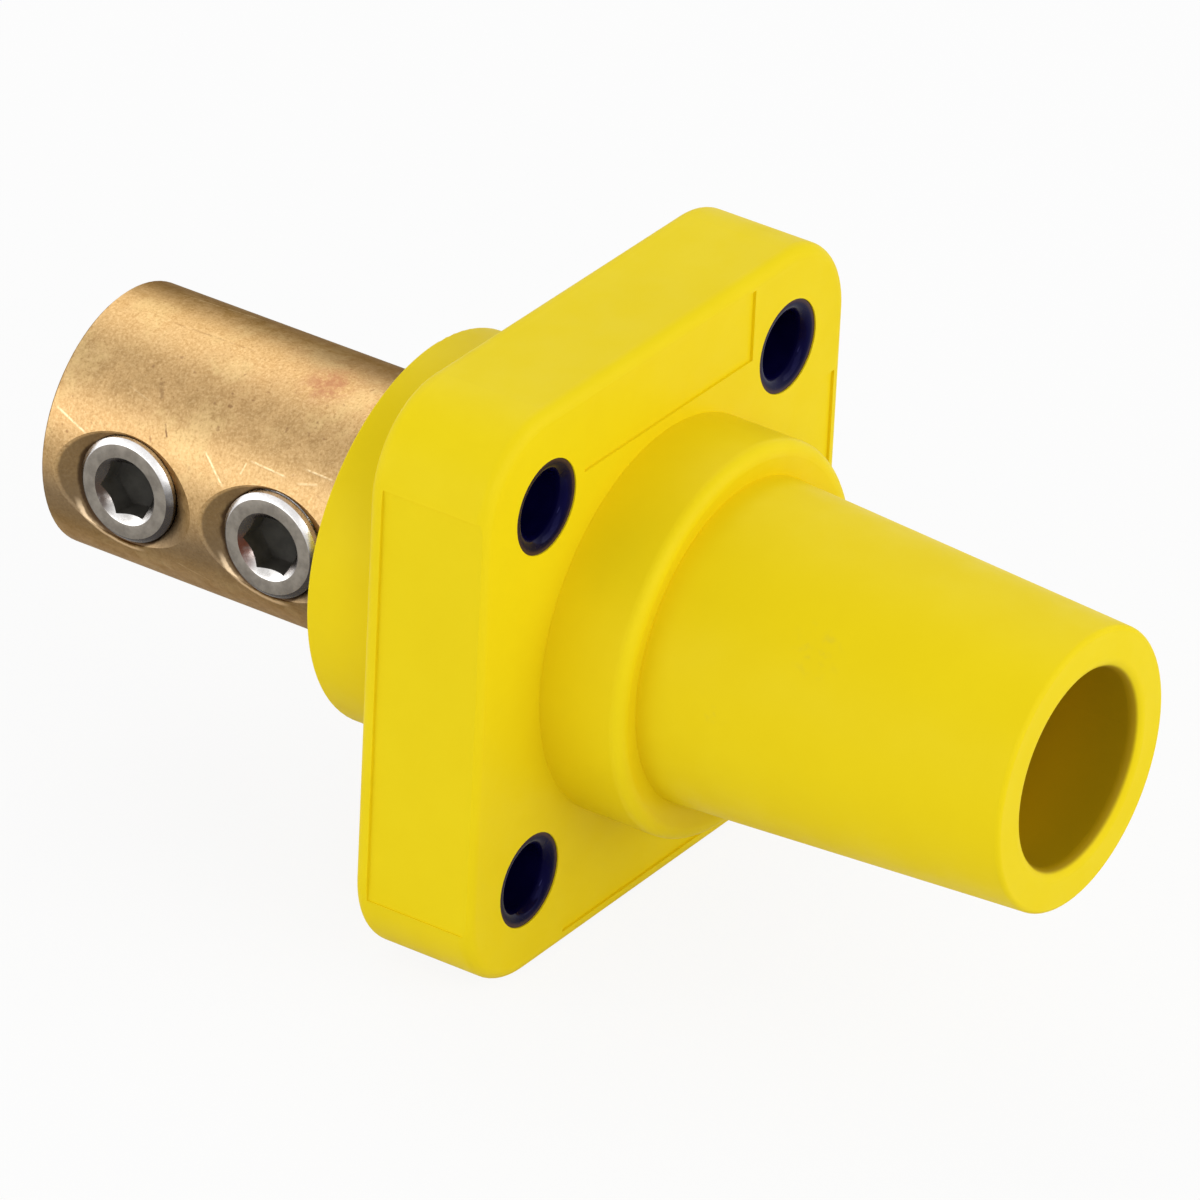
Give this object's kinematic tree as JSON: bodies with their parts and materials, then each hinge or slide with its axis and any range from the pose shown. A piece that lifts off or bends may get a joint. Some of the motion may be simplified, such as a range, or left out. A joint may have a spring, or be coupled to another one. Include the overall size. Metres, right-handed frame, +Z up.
{
  "type": "single-pole power receptacle",
  "caption": "Single-pole power receptacle: moulded yellow flanged insulator with a tapered nose, turned brass contact with a rear cable barrel clamped by socket set screws",
  "frame": {"origin": "centre of the four mounting holes, on the back face of the flange, which rests against the panel", "axes": "+Y runs along the round axis to the rear, towards the cable barrel; the nose points to -Y; +Z is up and +X is the right of someone who looks at the nose"},
  "size_m": [0.0524, 0.096, 0.0524],
  "materials": {
    "insulator": "yellow moulded thermoplastic with a soft satin shine",
    "contact": "turned brass, mottled and lightly scratched",
    "steel": "plain spring steel",
    "screw": "zinc plated steel, satin",
    "eyelet": "black glossy coated metal"
  },
  "bodies": {
    "receptacle": {"insulator_body": "insulator", "contact": "contact", "cam_pin": "steel", "retaining_ring": "steel", "eyelet_upper_left": "eyelet", "eyelet_upper_right": "eyelet", "eyelet_lower_left": "eyelet", "eyelet_lower_right": "eyelet"},
    "front_screw": {"set_screw_front": "screw"},
    "rear_screw": {"set_screw_rear": "screw"}
  },
  "joints": [
    {"name": "front_screw_travel", "type": "slide", "parent": "receptacle", "child": "front_screw", "axis": [1, 0, 0], "range_m": [-0.003, 0.003]},
    {"name": "rear_screw_travel", "type": "slide", "parent": "receptacle", "child": "rear_screw", "axis": [1, 0, 0], "range_m": [-0.003, 0.003]}
  ]
}
